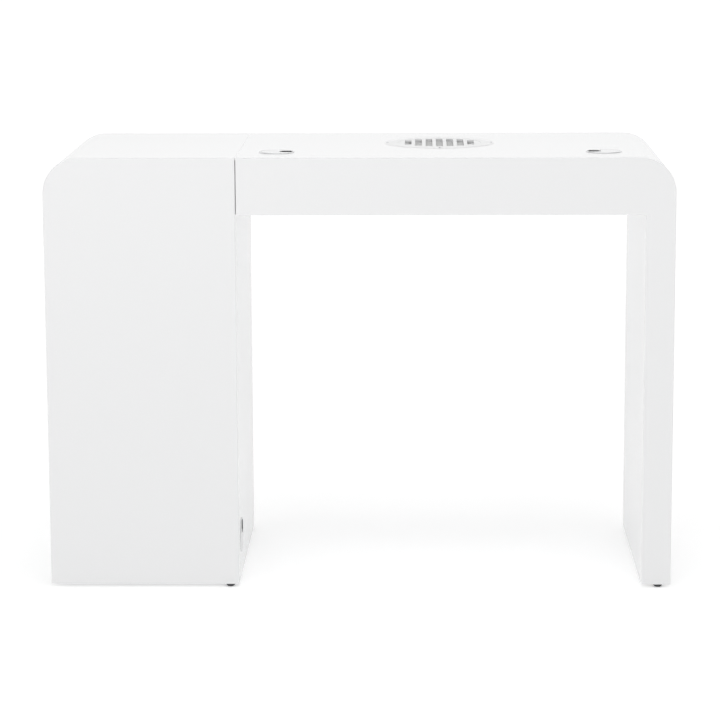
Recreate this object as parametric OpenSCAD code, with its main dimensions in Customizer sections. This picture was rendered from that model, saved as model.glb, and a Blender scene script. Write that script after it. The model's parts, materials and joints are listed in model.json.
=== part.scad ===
// Manicure table: a drawer cabinet and a waterfall desk with a dust extractor under its top.
// X runs from the cabinet to the leg, Y from the customer's side to the technician's side, Z up.
// The origin is on the floor, under the middle of the whole table with its handles.

/* [Table] */
// Width over the cabinet and the leg
table_w = 1100; // [1060:10:1200]
// Depth of the table, without the handles
table_d = 450; // [440:10:480]
// Height of the cabinet and the desk, without the glides
body_h = 760; // [750:5:780]
// Radius of the two rounded top corners
corner_r = 62; // [50:1:70]
// Thickness of the lacquered panels
panel_t = 18; // [17:1:18]

/* [Cabinet] */
// Width of the cabinet
cabinet_w = 335; // [325:5:345]
// Gap between the cabinet and the desk
seam_gap = 1; // [1:0.5:3]
// Height of the upper drawer's front
upper_front_h = 110; // [105:5:120]
// Height of the lower drawer's front
lower_front_h = 150; // [140:5:160]
// Gap round the drawers and the door
reveal = 3; // [3:0.5:4]
// Height of the loose shelf above the floor
shelf_height = 200; // [180:5:240]

/* [Desk] */
// Thickness of the desk, from its top to its underside
beam_h = 100; // [98:1:110]
// Thickness of the leg
leg_w = 52; // [50:1:60]
// Thickness of the desk's bottom panel
bottom_t = 12; // [10:1:12]

/* [Dust extractor] */
// Distance of the vent's centre behind the customer's edge
vent_depth = 257; // [245:1:265]
// Outer diameter of the vent's flange ring
ring_d = 197; // [195:1:205]
// Number of slots in the grille
slot_count = 7; // [5:2:7]
// Width of each slot
slot_w = 12; // [10:0.1:13]
// Distance from slot to slot
slot_pitch = 18.9; // [18:0.1:20]

/* [Cable grommets] */
// Distance of the two top grommets from the middle of the knee space
grommet_spread = 288; // [270:1:295]
// Distance of the top grommets behind the customer's edge
grommet_depth = 98; // [90:1:110]
// Distance of the side grommet behind the customer's edge
side_grommet_depth = 70; // [60:1:90]
// Height of the side grommet above the cabinet's underside
side_grommet_height = 74; // [65:1:90]
// Outer diameter of a grommet's flange
grommet_d = 63; // [62:1:66]
// Width of the cable slot in a cap
cable_slot_w = 20; // [16:1:22]

/* [Handles] */
// How far the handles stand out
handle_out = 28; // [24:1:32]
// Distance between a handle's two posts
handle_pitch = 128; // [96, 128]
// Diameter of a handle's bar
handle_bar_d = 10; // [8:1:12]

/* [Hidden] */
$fn = 64;

// Outer planes
glide_h = 5;
x_left = -table_w / 2;
x_right = table_w / 2;
y_front = -(table_d + handle_out) / 2;
y_rear = y_front + table_d;
z_base = glide_h;
z_top = z_base + body_h;
z_beam = z_top - beam_h;

// Cabinet
x_cab = x_left + cabinet_w;
cab_in_x = [x_left + panel_t, x_cab - panel_t];
cab_mid_x = (cab_in_x[0] + cab_in_x[1]) / 2;
cab_in_y = [y_front + panel_t, y_rear];
front_y = [y_rear - panel_t, y_rear];
front_x = [cab_in_x[0] + reveal, cab_in_x[1] - reveal];
upper_z = [z_beam - reveal - upper_front_h, z_beam - reveal];
lower_z = [upper_z[0] - reveal - lower_front_h, upper_z[0] - reveal];
divider_z = [lower_z[0] - reveal - panel_t, lower_z[0] - reveal];
door_z = [z_base + panel_t + reveal, divider_z[0] - reveal];

// Desk
x_desk = x_cab + seam_gap;
x_leg = x_right - leg_w;
knee_mid_x = (x_cab + x_leg) / 2;
desk_in_y = [y_front + panel_t, y_rear - panel_t];
beam_in_z = [z_beam + bottom_t, z_top - panel_t];
core_x = [x_leg + panel_t, x_right - panel_t];

// Drawer boxes and their runners
box_t = 12;
box_depth = 350;
box_lift = 10;
box_drop = 20;
box_y = [front_y[0] - box_depth, front_y[0]];
bottom_board_t = 5;
groove = 5;
bottom_lift = 10;
runner_t = 13;
runner_h = 45;
runner_steel = 1.2;
runner_step = 4.5;
cage_l = 80;
box_x = [cab_in_x[0] + runner_t, cab_in_x[1] - runner_t];

// Handles
bar_overhang = 16;
post_r = 4;
rosette_r = 7;
rosette_t = 2;
door_handle_inset = 36;
door_handle_drop = 110;

// Door hinges
hinge_h = 60;
hinge_inset = 45;
leaf_t = 1.2;
knuckle_count = 5;
knuckle_r = 3.2;
knuckle_gap = 0.3;
pin_r = 1.5;
pin_play = 0.05;
pin_tip = 1.5;
hinge_x = cab_in_x[0] + reveal / 2;
hinge_y = y_rear + knuckle_r + 0.4;
hinge_floors = [door_z[0] + hinge_inset, door_z[1] - hinge_inset - hinge_h];

// Shelf and door catch
shelf_t = 16;
shelf_gap = 1;
shelf_y = [cab_in_y[0] + 35, front_y[0] - 20];
shelf_pin_r = 2.5;
shelf_pin_out = 9;
shelf_pin_in = 8;
catch_size = [40, 14, 13];
catch_gap = 1;

// Bolts between the cabinet and the desk
bolt_r = 3;
bolt_play = 0.2;
bolt_head_r = 6.5;
bolt_head_t = 4;
bolt_tail = 8;
nut_r = 5.8;
nut_t = 5;
washer_r = 10;
bolt_places = [
    for (y = [y_front + 60, y_rear - 60]) for (z = [z_beam + 32, z_beam + 66]) [y, z]
];
passage_r = 20;
passage_y = y_front + table_d / 2;
passage_z = z_beam + 48;

// Cross rails in the beam
rail_offset = 125;
rail_hole_r = 15;
rail_hole_y = y_front + 60;

// Vent ring, grille and filter: heights are measured from the desk's top
vent_y = y_front + vent_depth;
ring_r = ring_d / 2;
ring_t = 1.2;
ring_wall = 2.2;
grille_r = 74.8;
grille_play = 0.3;
grille_t = 4.2;
grille_floor = -3.2;
slot_field_r = 68;
well_r = 72.6;
filter_r = 71.9;
filter_t = 11;
well_floor = -16;
well_exit_r = 62;
vent_hole_r = 78;
ring_screw_r = 94;
ring_screw_head_r = 2.6;
ring_screw_shank_r = 1.2;
ring_screw_l = 12;

// Housing and fan
housing_r = 100;
housing_wall = 2.4;
housing_drop = 28;
housing_exit_r = 58;
fan_w = 120;
fan_t = 25;
fan_hole_pitch = 104.8;
fan_hole_r = 2.2;
fan_z = z_top - panel_t - housing_drop - fan_t;
hub_r = 19;
blade_r = 56.4;
blade_count = 7;
blade_chord = 21;
blade_pitch = 34;
blade_t = 1.8;
motor_plate_t = 2.5;
strut_w = 5;
bearing_r = 4.5;
shaft_r = 2;
shaft_play = 0.05;
guard_t = 1.6;
guard_rings = [18, 30, 42, 54];
fan_screw_r = 2;
fan_screw_head_r = 3.6;
fan_screw_head_t = 2.4;
fan_corners = [for (sx = [-1, 1]) for (sy = [-1, 1]) [sx, sy] * fan_hole_pitch / 2];

// Screws that hold the housing and the louvre
wood_screw_r = 1.75;
wood_screw_l = 12;
wood_screw_head_r = 3.4;
wood_screw_head_t = 2;
pilot_play = 0.05;
housing_screw_ring = 90;

// Louvre in the beam's underside
louvre_w = 190;
louvre_hole_w = 168;
louvre_wall = 2;
louvre_flange_t = 2;
slat_count = 9;
slat_tilt = 42;
slat_chord = 13;
slat_t = 1.6;
louvre_screw_pitch = 179;

// Switch
switch_x = knee_mid_x + 190;
switch_z = z_top - beam_h / 2;
switch_pivot_y = y_rear - 4;
switch_w = 13.4;
switch_h = 20;
switch_depth = 15;
switch_wall = 1;
bezel_margin = 0.9;
bezel_t = 1.5;
cutout_play = 0.4;
rocker_w = 10.8;
rocker_tilt = 8;
rocker_pin_r = 1;
rocker_pin_out = 0.7;

// Grommets, in their own frame with the panel's outer surface at height 0
grommet_r = grommet_d / 2;
sleeve_r = 29.8;
sleeve_hole_r = 30;
sleeve_l = 16;
cap_r = 28;
cap_seat_r = 28.3;
cap_floor = -1.4;
cap_rise = 1.5;
ledge_r = 26.3;
cap_skirt_r = 25.9;
cap_skirt_wall = 1.2;
slot_reach = 5;
grommet_left = [knee_mid_x - grommet_spread, y_front + grommet_depth, z_top];
grommet_right = [knee_mid_x + grommet_spread, y_front + grommet_depth, z_top];
grommet_side = [x_cab, y_front + side_grommet_depth, z_base + side_grommet_height];

// Glides
glide_r = 8;
glide_foot_r = 5;
nail_r = 1.5;
nail_l = 18;
nail_play = 0.1;
cabinet_glide_places = [
    [x_cab - 16, y_front + panel_t / 2],
    [x_cab - panel_t / 2, y_rear - 20],
    [x_left + panel_t / 2, y_front + 45],
    [x_left + panel_t / 2, y_rear - 20]
];
leg_glide_places = [
    [x_leg + 30, y_front + panel_t / 2],
    [x_leg + 30, y_rear - panel_t / 2]
];

// ---- Shared shapes ----

// The two ends of a stretch with a given middle and width
function span(middle, width) = [middle - width / 2, middle + width / 2];

// A block between two planes on each axis
module block(x, y, z) {
    translate([x[0], y[0], z[0]])
        cube([x[1] - x[0], y[1] - y[0], z[1] - z[0]]);
}

module rod_x(x, y, z, r) {
    translate([x[0], y, z])
        rotate([0, 90, 0])
            cylinder(h = x[1] - x[0], r = r);
}

module rod_y(x, y, z, r) {
    translate([x, y[0], z])
        rotate([-90, 0, 0])
            cylinder(h = y[1] - y[0], r = r);
}

module rod_z(x, y, z, r) {
    translate([x, y, z[0]])
        cylinder(h = z[1] - z[0], r = r);
}

// An outline drawn in X and Z, made solid between two planes across the table
module along_y(y) {
    translate([0, y[1], 0])
        rotate([90, 0, 0])
            linear_extrude(y[1] - y[0])
                children();
}

// A rectangle with its upper left corner (side -1) or upper right corner (side 1) rounded
module rounded_sheet(x, z, r, side) {
    centre_x = side < 0 ? x[0] + r : x[1] - r;
    straight = side < 0 ? [centre_x, x[1]] : [x[0], centre_x];
    translate([x[0], z[0]])
        square([x[1] - x[0], z[1] - r - z[0]]);
    translate([straight[0], z[0]])
        square([straight[1] - straight[0], z[1] - z[0]]);
    translate([centre_x, z[1] - r])
        circle(r);
}

// The cabinet's whole outline, or the outline of the space inside its side and top
module cabinet_outline(inset = 0) {
    floor = inset > 0 ? z_base - 1 : z_base;
    reach = inset > 0 ? x_cab + 1 : x_cab;
    rounded_sheet([x_left + inset, reach], [floor, z_top - inset], corner_r - inset, -1);
}

// The desk's outline over its beam and leg, or the space inside its top and outer side
module desk_outline(inset = 0) {
    floor = inset > 0 ? z_base - 1 : z_base;
    reach = inset > 0 ? x_desk - 1 : x_desk;
    rounded_sheet([reach, x_right - inset], [floor, z_top - inset], corner_r - inset, 1);
}

// The desk's outline without the knee space
module desk_arch() {
    difference() {
        desk_outline();
        translate([x_desk - 1, z_base - 1])
            square([x_leg - x_desk + 1, z_beam - z_base + 1]);
    }
}

module nail_holes(places) {
    for (p = places)
        rod_z(p[0], p[1], [z_base - 1, z_base + nail_l + 1], nail_r + nail_play);
}

// The same piece on the left and on the right of the cabinet
module both_sides() {
    children();
    translate([2 * cab_mid_x, 0, 0])
        mirror([1, 0, 0])
            children();
}

// ---- Cabinet ----

module cabinet_waterfall_panel() {
    color("white")
        difference() {
            along_y(cab_in_y)
                difference() {
                    cabinet_outline();
                    cabinet_outline(panel_t);
                }
            nail_holes(cabinet_glide_places);
            shelf_pin_holes();
        }
}

module cabinet_front_panel() {
    color("white")
        difference() {
            along_y([y_front, y_front + panel_t])
                cabinet_outline();
            nail_holes(cabinet_glide_places);
        }
}

module cabinet_inner_side() {
    color("white")
        difference() {
            block([cab_in_x[1], x_cab], cab_in_y, [z_base, z_top - panel_t]);
            nail_holes(cabinet_glide_places);
            shelf_pin_holes();
            joint_holes([cab_in_x[1] - 1, x_cab + 1]);
            rod_x([cab_in_x[1] - 1, x_cab + 1], grommet_side[1], grommet_side[2], sleeve_hole_r);
        }
}

module cabinet_bottom_panel() {
    color("white")
        block(cab_in_x, cab_in_y, [z_base, z_base + panel_t]);
}

module cabinet_divider() {
    color("white")
        block(cab_in_x, cab_in_y, divider_z);
}

module cabinet_rear_fascia() {
    color("white")
        along_y(front_y)
            intersection() {
                cabinet_outline(panel_t);
                translate([cab_in_x[0], z_beam])
                    square([cab_in_x[1] - cab_in_x[0], z_top - panel_t - z_beam]);
            }
}

module cabinet_shelf() {
    color("white")
        block([cab_in_x[0] + shelf_gap, cab_in_x[1] - shelf_gap], shelf_y,
            [shelf_height, shelf_height + shelf_t]);
}

module shelf_pin_rods(play) {
    for (y = [shelf_y[0] + 40, shelf_y[1] - 40])
        both_sides()
            rod_x([cab_in_x[0] - shelf_pin_in, cab_in_x[0] + shelf_pin_out], y,
                shelf_height - shelf_pin_r, shelf_pin_r + play);
}

module shelf_pins() {
    color("silver")
        shelf_pin_rods(0);
}

module shelf_pin_holes() {
    shelf_pin_rods(pin_play);
}

module glide(place) {
    translate([place[0], place[1], 0]) {
        rotate_extrude()
            polygon([[0, 0], [glide_foot_r, 0], [glide_r, glide_h / 2], [glide_r, glide_h], [0, glide_h]]);
        cylinder(h = glide_h + nail_l, r = nail_r);
    }
}

module cabinet_glides() {
    color("dimgray")
        for (p = cabinet_glide_places)
            glide(p);
}

// ---- Desk ----

module desk_waterfall_panel() {
    color("white")
        difference() {
            along_y(desk_in_y)
                difference() {
                    desk_outline();
                    desk_outline(panel_t);
                }
            rod_z(knee_mid_x, vent_y, [z_top - panel_t - 1, z_top + 1], vent_hole_r);
            for (g = [grommet_left, grommet_right])
                rod_z(g[0], g[1], [z_top - panel_t - 1, z_top + 1], sleeve_hole_r);
            for (a = [0 : 90 : 270])
                on_vent(a, ring_screw_r)
                    rod_z(0, 0, [-ring_screw_l - 1, 1], ring_screw_shank_r + pilot_play);
            for (a = [45 : 90 : 315])
                on_vent(a, housing_screw_ring)
                    rod_z(0, 0, [-panel_t - 1, -panel_t + wood_screw_l + 1], wood_screw_r + pilot_play);
        }
}

module desk_front_panel() {
    color("white")
        difference() {
            along_y([y_front, y_front + panel_t])
                desk_arch();
            nail_holes(leg_glide_places);
        }
}

module desk_rear_panel() {
    color("white")
        difference() {
            along_y([y_rear - panel_t, y_rear])
                desk_arch();
            nail_holes(leg_glide_places);
            block(span(switch_x, switch_w + cutout_play), [y_rear - panel_t - 1, y_rear + 1],
                span(switch_z, switch_h + cutout_play));
        }
}

module beam_bottom_panel() {
    color("white")
        difference() {
            block([x_desk, x_right - panel_t], desk_in_y, [z_beam, z_beam + bottom_t]);
            block(span(knee_mid_x, louvre_hole_w), span(vent_y, louvre_hole_w),
                [z_beam - 1, z_beam + bottom_t + 1]);
            for (sx = [-1, 1]) for (sy = [-1, 1])
                rod_z(knee_mid_x + sx * louvre_screw_pitch / 2, vent_y + sy * louvre_screw_pitch / 2,
                    [z_beam - 1, z_beam + wood_screw_l - louvre_flange_t], wood_screw_r + pilot_play);
        }
}

module beam_end_panel() {
    color("burlywood")
        difference() {
            block([x_desk, x_desk + panel_t], desk_in_y, beam_in_z);
            joint_holes([x_desk - 1, x_desk + panel_t + 1]);
        }
}

module beam_cross_rails() {
    color("burlywood")
        for (side = [-1, 1])
            difference() {
                block(span(knee_mid_x + side * rail_offset, panel_t), desk_in_y, beam_in_z);
                rod_x(span(knee_mid_x + side * rail_offset, 2 * panel_t), rail_hole_y, passage_z,
                    rail_hole_r);
            }
}

module leg_inner_panel() {
    color("white")
        block([x_leg, x_leg + panel_t], desk_in_y, [z_base, z_beam]);
}

// Two upright battens and a block along the floor fill the leg between its inner and outer panels
module leg_core_blocks() {
    batten_w = 45;
    foot_h = 60;
    color("burlywood") {
        block(core_x, [desk_in_y[0], desk_in_y[0] + batten_w], [z_base, z_beam]);
        block(core_x, [desk_in_y[1] - batten_w, desk_in_y[1]], [z_base, z_beam]);
        block(core_x, [desk_in_y[0] + batten_w, desk_in_y[1] - batten_w], [z_base, z_base + foot_h]);
    }
}

module leg_glides() {
    color("dimgray")
        for (p = leg_glide_places)
            glide(p);
}

// ---- Joint between the cabinet and the desk ----

module joint_holes(x) {
    for (p = bolt_places)
        rod_x(x, p[0], p[1], bolt_r + bolt_play);
    rod_x(x, passage_y, passage_z, passage_r);
}

module joining_bolts() {
    color("silver")
        for (p = bolt_places) {
            rod_x([cab_in_x[1] - bolt_head_t, cab_in_x[1]], p[0], p[1], bolt_head_r);
            rod_x([cab_in_x[1] - bolt_head_t, x_desk + panel_t + bolt_tail], p[0], p[1], bolt_r);
        }
}

module joining_washers() {
    color("silver")
        for (p = bolt_places)
            difference() {
                rod_x([x_cab, x_desk], p[0], p[1], washer_r);
                rod_x([x_cab - 1, x_desk + 1], p[0], p[1], bolt_r + bolt_play);
            }
}

module joining_nuts() {
    color("silver")
        for (p = bolt_places)
            translate([x_desk + panel_t, p[0], p[1]])
                rotate([0, 90, 0])
                    difference() {
                        cylinder(h = nut_t, r = nut_r, $fn = 6);
                        translate([0, 0, -1])
                            cylinder(h = nut_t + 2, r = bolt_r + pin_play);
                    }
}

// ---- Dust extractor ----

// Puts a piece at an angle and a distance round the vent, with height 0 on the desk's top
module on_vent(angle = 0, distance = 0) {
    translate([knee_mid_x, vent_y, z_top])
        rotate([0, 0, angle])
            translate([distance, 0, 0])
                children();
}

module extractor_ring() {
    seat_r = grille_r + grille_play;
    color("whitesmoke")
        difference() {
            on_vent()
                rotate_extrude()
                    polygon([
                        [seat_r, ring_t], [ring_r - ring_t / 2, ring_t], [ring_r, ring_t / 2], [ring_r, 0],
                        [seat_r + ring_wall, 0], [seat_r + ring_wall, grille_floor - ring_wall],
                        [well_r + ring_wall, grille_floor - ring_wall], [well_r + ring_wall, -panel_t],
                        [well_exit_r, -panel_t], [well_exit_r, well_floor], [well_r, well_floor],
                        [well_r, grille_floor], [seat_r, grille_floor]
                    ]);
            for (a = [0 : 90 : 270])
                on_vent(a, ring_screw_r)
                    ring_screw(pilot_play);
        }
}

// A countersunk screw whose head lies flush with the ring
module ring_screw(play) {
    translate([0, 0, -ring_screw_l])
        cylinder(h = ring_screw_l + ring_t / 2, r = ring_screw_shank_r + play);
    cylinder(h = ring_t + play, r1 = ring_screw_shank_r + play, r2 = ring_screw_head_r + play);
}

module ring_screws() {
    color("gray")
        for (a = [0 : 90 : 270])
            on_vent(a, ring_screw_r)
                ring_screw(0);
}

// A disc with square-ended slots, whose lengths follow a circle
module extractor_grille() {
    color("white")
        on_vent()
            difference() {
                translate([0, 0, grille_floor])
                    cylinder(h = grille_t, r = grille_r);
                for (i = [0 : slot_count - 1]) {
                    place = (i - (slot_count - 1) / 2) * slot_pitch;
                    length = 2 * sqrt(pow(slot_field_r, 2) - pow(place, 2));
                    block(span(place, slot_w), span(0, length), [grille_floor - 1, ring_t + 1]);
                }
            }
}

module extractor_filter() {
    frame_w = 5;
    media_inset = 2;
    color("gainsboro")
        on_vent() {
            difference() {
                translate([0, 0, well_floor])
                    cylinder(h = filter_t, r = filter_r);
                translate([0, 0, well_floor - 1])
                    cylinder(h = filter_t + 2, r = filter_r - frame_w);
            }
            translate([0, 0, well_floor + media_inset])
                cylinder(h = filter_t - 2 * media_inset, r = filter_r - frame_w + 0.5);
        }
}

module extractor_housing() {
    color("lightgray")
        difference() {
            union() {
                on_vent()
                    rotate_extrude()
                        polygon([
                            [vent_hole_r, -panel_t], [housing_r, -panel_t],
                            [housing_r, -panel_t - housing_wall],
                            [vent_hole_r + housing_wall, -panel_t - housing_wall],
                            [housing_exit_r + housing_wall, -panel_t - housing_drop],
                            [housing_exit_r, -panel_t - housing_drop]
                        ]);
                fan_plate([fan_z + fan_t, fan_z + fan_t + housing_wall]);
            }
            for (a = [45 : 90 : 315])
                on_vent(a, housing_screw_ring)
                    rod_z(0, 0, [-panel_t - housing_wall - 1, 0], wood_screw_r + bolt_play);
        }
}

// A square plate of the fan's size, with the duct and the four corner holes through it
module fan_plate(z) {
    difference() {
        block(span(knee_mid_x, fan_w), span(vent_y, fan_w), z);
        rod_z(knee_mid_x, vent_y, [z[0] - 1, z[1] + 1], housing_exit_r);
        for (c = fan_corners)
            rod_z(knee_mid_x + c[0], vent_y + c[1], [z[0] - 1, z[1] + 1], fan_hole_r);
    }
}

module fan_frame() {
    strut_z = [0.5, motor_plate_t - 0.5];
    color("dimgray") {
        fan_plate([fan_z, fan_z + fan_t]);
        translate([knee_mid_x, vent_y, fan_z])
            difference() {
                union() {
                    cylinder(h = motor_plate_t, r = hub_r);
                    cylinder(h = fan_t / 2, r = bearing_r);
                    for (a = [0 : 90 : 270])
                        rotate([0, 0, a])
                            block([hub_r - 1, housing_exit_r + 1], span(0, strut_w), strut_z);
                }
                translate([0, 0, -1])
                    cylinder(h = fan_t, r = shaft_r + shaft_play);
            }
    }
}

// The motor's fixed windings round the bearing
module fan_stator() {
    gap = 0.2;
    stator_r = 15;
    pole_gap = 3;
    color("peru")
        translate([knee_mid_x, vent_y, fan_z + motor_plate_t])
            difference() {
                cylinder(h = fan_t / 2 - motor_plate_t, r = stator_r);
                translate([0, 0, -1])
                    cylinder(h = fan_t, r = bearing_r + gap);
                for (a = [0 : 90 : 270])
                    rotate([0, 0, a])
                        block([stator_r / 2, stator_r + 1], span(0, pole_gap), [-1, fan_t]);
            }
}

module fan_impeller() {
    cup_wall = 1.5;
    cup_floor = motor_plate_t + 1;
    cup_top = fan_t - 2;
    color("black")
        translate([knee_mid_x, vent_y, fan_z]) {
            difference() {
                translate([0, 0, cup_floor])
                    cylinder(h = cup_top - cup_floor, r = hub_r);
                translate([0, 0, cup_floor - 1])
                    cylinder(h = cup_top - cup_wall - cup_floor + 1, r = hub_r - cup_wall);
            }
            translate([0, 0, 0.5])
                cylinder(h = cup_top - 1, r = shaft_r);
            intersection() {
                difference() {
                    cylinder(h = fan_t, r = blade_r);
                    translate([0, 0, -1])
                        cylinder(h = fan_t + 2, r = hub_r - cup_wall / 2);
                }
                for (i = [0 : blade_count - 1])
                    rotate([0, 0, i * 360 / blade_count])
                        translate([0, 0, (cup_floor + cup_top) / 2])
                            rotate([blade_pitch, 0, 0])
                                block([hub_r / 2, blade_r + 5], span(0, blade_chord),
                                    span(0, blade_t));
            }
        }
}

module fan_guard() {
    eyelet_r = 4.5;
    color("silver")
        translate([knee_mid_x, vent_y, fan_z - guard_t]) {
            for (r = guard_rings)
                difference() {
                    cylinder(h = guard_t, r = r + guard_t / 2);
                    translate([0, 0, -1])
                        cylinder(h = guard_t + 2, r = r - guard_t / 2);
                }
            for (c = fan_corners)
                difference() {
                    union() {
                        translate([c[0], c[1], 0])
                            cylinder(h = guard_t, r = eyelet_r);
                        rotate([0, 0, atan2(c[1], c[0])])
                            block([guard_rings[0], norm(c)], span(0, guard_t), [0, guard_t]);
                    }
                    translate([c[0], c[1], -1])
                        cylinder(h = guard_t + 2, r = fan_hole_r);
                }
        }
}

module fan_screws() {
    color("silver")
        translate([knee_mid_x, vent_y, fan_z - guard_t])
            for (c = fan_corners) {
                translate([c[0], c[1], -fan_screw_head_t])
                    cylinder(h = fan_screw_head_t, r = fan_screw_head_r);
                translate([c[0], c[1], -fan_screw_head_t])
                    cylinder(h = fan_screw_head_t + guard_t + fan_t + housing_wall, r = fan_screw_r);
            }
}

// A pan-head screw that points up, with its head's seat at height 0
module wood_screw() {
    translate([0, 0, -wood_screw_head_t])
        cylinder(h = wood_screw_head_t, r = wood_screw_head_r);
    translate([0, 0, -wood_screw_head_t])
        cylinder(h = wood_screw_head_t + wood_screw_l, r = wood_screw_r);
}

module wood_screws() {
    color("silver") {
        for (a = [45 : 90 : 315])
            on_vent(a, housing_screw_ring)
                translate([0, 0, -panel_t - housing_wall])
                    wood_screw();
        for (sx = [-1, 1]) for (sy = [-1, 1])
            translate([knee_mid_x + sx * louvre_screw_pitch / 2, vent_y + sy * louvre_screw_pitch / 2,
                z_beam - louvre_flange_t])
                wood_screw();
    }
}

module exhaust_louvre() {
    outer = louvre_hole_w - 0.4;
    inner = outer - 2 * louvre_wall;
    pitch = inner / slat_count;
    color("white")
        translate([knee_mid_x, vent_y, z_beam]) {
            difference() {
                union() {
                    block(span(0, louvre_w), span(0, louvre_w), [-louvre_flange_t, 0]);
                    block(span(0, outer), span(0, outer), [-louvre_flange_t, bottom_t - 2]);
                }
                block(span(0, inner), span(0, inner), [-louvre_flange_t - 1, bottom_t]);
                for (sx = [-1, 1]) for (sy = [-1, 1])
                    rod_z(sx * louvre_screw_pitch / 2, sy * louvre_screw_pitch / 2,
                        [-louvre_flange_t - 1, 1], wood_screw_r + bolt_play);
            }
            for (i = [0 : slat_count - 1])
                translate([0, (i - (slat_count - 1) / 2) * pitch, (bottom_t - 2 - louvre_flange_t) / 2])
                    rotate([slat_tilt, 0, 0])
                        block(span(0, inner + 1), span(0, slat_chord), span(0, slat_t));
        }
}

// ---- Switch ----

module switch_housing() {
    inner_w = rocker_w + 0.6;
    inner_h = 17.8;
    color("black")
        difference() {
            union() {
                block(span(switch_x, switch_w), [y_rear - switch_depth, y_rear],
                    span(switch_z, switch_h));
                block(span(switch_x, switch_w + 2 * bezel_margin), [y_rear, y_rear + bezel_t],
                    span(switch_z, switch_h + 2 * bezel_margin));
            }
            block(span(switch_x, inner_w), [y_rear - switch_depth + switch_wall, y_rear + bezel_t + 1],
                span(switch_z, inner_h));
            rod_x(span(switch_x, rocker_w + 2 * rocker_pin_out + cutout_play), switch_pivot_y, switch_z,
                rocker_pin_r + pin_play);
        }
}

module switch_rocker() {
    color("dimgray")
        translate([switch_x, switch_pivot_y, switch_z])
            rotate([-rocker_tilt, 0, 0]) {
                rotate([90, 0, 90])
                    linear_extrude(rocker_w, center = true)
                        polygon([
                            [-3, -3], [0, -7], [5.4, -7.8], [4.2, 0], [5.4, 7.8], [0, 7], [-3, 3]
                        ]);
                rod_x(span(0, rocker_w + 2 * rocker_pin_out), 0, 0, rocker_pin_r);
            }
}

// ---- Cable grommets ----

module grommet_sleeve() {
    lip = 1.6;
    tube_r = 27.8;
    color("gainsboro")
        rotate_extrude()
            polygon([
                [grommet_r, 0], [grommet_r, lip / 2], [grommet_r - lip / 2, lip], [cap_seat_r, lip],
                [cap_seat_r, cap_floor], [ledge_r, cap_floor], [ledge_r, cap_floor - lip],
                [tube_r, cap_floor - lip], [tube_r, -sleeve_l], [sleeve_r, -sleeve_l], [sleeve_r, 0]
            ]);
}

module grommet_cap(slot_angle) {
    skirt_l = 5;
    bevel = 0.5;
    color("gainsboro")
        difference() {
            union() {
                rotate_extrude()
                    polygon([
                        [0, cap_floor], [cap_r, cap_floor], [cap_r, cap_rise - bevel],
                        [cap_r - bevel, cap_rise], [0, cap_rise]
                    ]);
                difference() {
                    rod_z(0, 0, [cap_floor - skirt_l, cap_floor], cap_skirt_r);
                    rod_z(0, 0, [cap_floor - skirt_l - 1, cap_floor - 0.5], cap_skirt_r - cap_skirt_wall);
                }
            }
            rotate([0, 0, slot_angle]) {
                rod_z(slot_reach + cable_slot_w / 2, 0, [-sleeve_l, cap_rise + 1], cable_slot_w / 2);
                block([slot_reach + cable_slot_w / 2, cap_r + 1], span(0, cable_slot_w),
                    [-sleeve_l, cap_rise + 1]);
            }
        }
}

module left_grommet_sleeve() {
    translate(grommet_left)
        grommet_sleeve();
}

module left_grommet_cap() {
    translate(grommet_left)
        grommet_cap(0);
}

module right_grommet_sleeve() {
    translate(grommet_right)
        grommet_sleeve();
}

module right_grommet_cap() {
    translate(grommet_right)
        grommet_cap(180);
}

module side_grommet_sleeve() {
    translate(grommet_side)
        rotate([0, 90, 0])
            grommet_sleeve();
}

module side_grommet_cap() {
    translate(grommet_side)
        rotate([0, 90, 0])
            grommet_cap(180);
}

// ---- Drawers ----

// The middle height of the box behind a drawer front
function box_z(front_z) = [front_z[0] + box_lift, front_z[1] - box_drop];
function runner_mid(front_z) = (box_z(front_z)[0] + box_z(front_z)[1]) / 2;

module drawer_front(front_z) {
    color("white")
        block(front_x, front_y, front_z);
}

// Left, right and far boards, with a groove for the bottom
module drawer_boards(front_z) {
    z = box_z(front_z);
    groove_x = [box_x[0] + box_t - groove, box_x[1] - box_t + groove];
    groove_y = [box_y[0] + box_t - groove, box_y[1] + 1];
    groove_z = [z[0] + bottom_lift, z[0] + bottom_lift + bottom_board_t];
    color("white")
        difference() {
            union() {
                block([box_x[0], box_x[0] + box_t], box_y, z);
                block([box_x[1] - box_t, box_x[1]], box_y, z);
                block([box_x[0] + box_t, box_x[1] - box_t], [box_y[0], box_y[0] + box_t], z);
            }
            block(groove_x, groove_y, groove_z);
        }
}

module drawer_bottom(front_z) {
    floor = box_z(front_z)[0] + bottom_lift;
    color("whitesmoke")
        block([box_x[0] + box_t - groove, box_x[1] - box_t + groove],
            [box_y[0] + box_t - groove, box_y[1]], [floor, floor + bottom_board_t]);
}

// A straight bar on two posts, with its middle at the origin and the panel's surface at height 0
module bar_handle() {
    bar_l = handle_pitch + 2 * bar_overhang;
    bar_y = handle_out - handle_bar_d / 2;
    color("silver") {
        rod_x(span(0, bar_l), bar_y, 0, handle_bar_d / 2);
        for (side = [-1, 1]) {
            rod_y(side * handle_pitch / 2, [0, bar_y], 0, post_r);
            rod_y(side * handle_pitch / 2, [0, rosette_t], 0, rosette_r);
        }
    }
}

module drawer_handle(front_z) {
    translate([cab_mid_x, y_rear, (front_z[0] + front_z[1]) / 2])
        bar_handle();
}

// A steel channel from its back to its lips across the runner, with a given height
module channel(x, web_x, half_h, mid_z) {
    block(web_x, box_y, span(mid_z, 2 * half_h));
    for (side = [-1, 1])
        block(x, box_y, span(mid_z + side * (half_h - runner_steel / 2), runner_steel));
}

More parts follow.
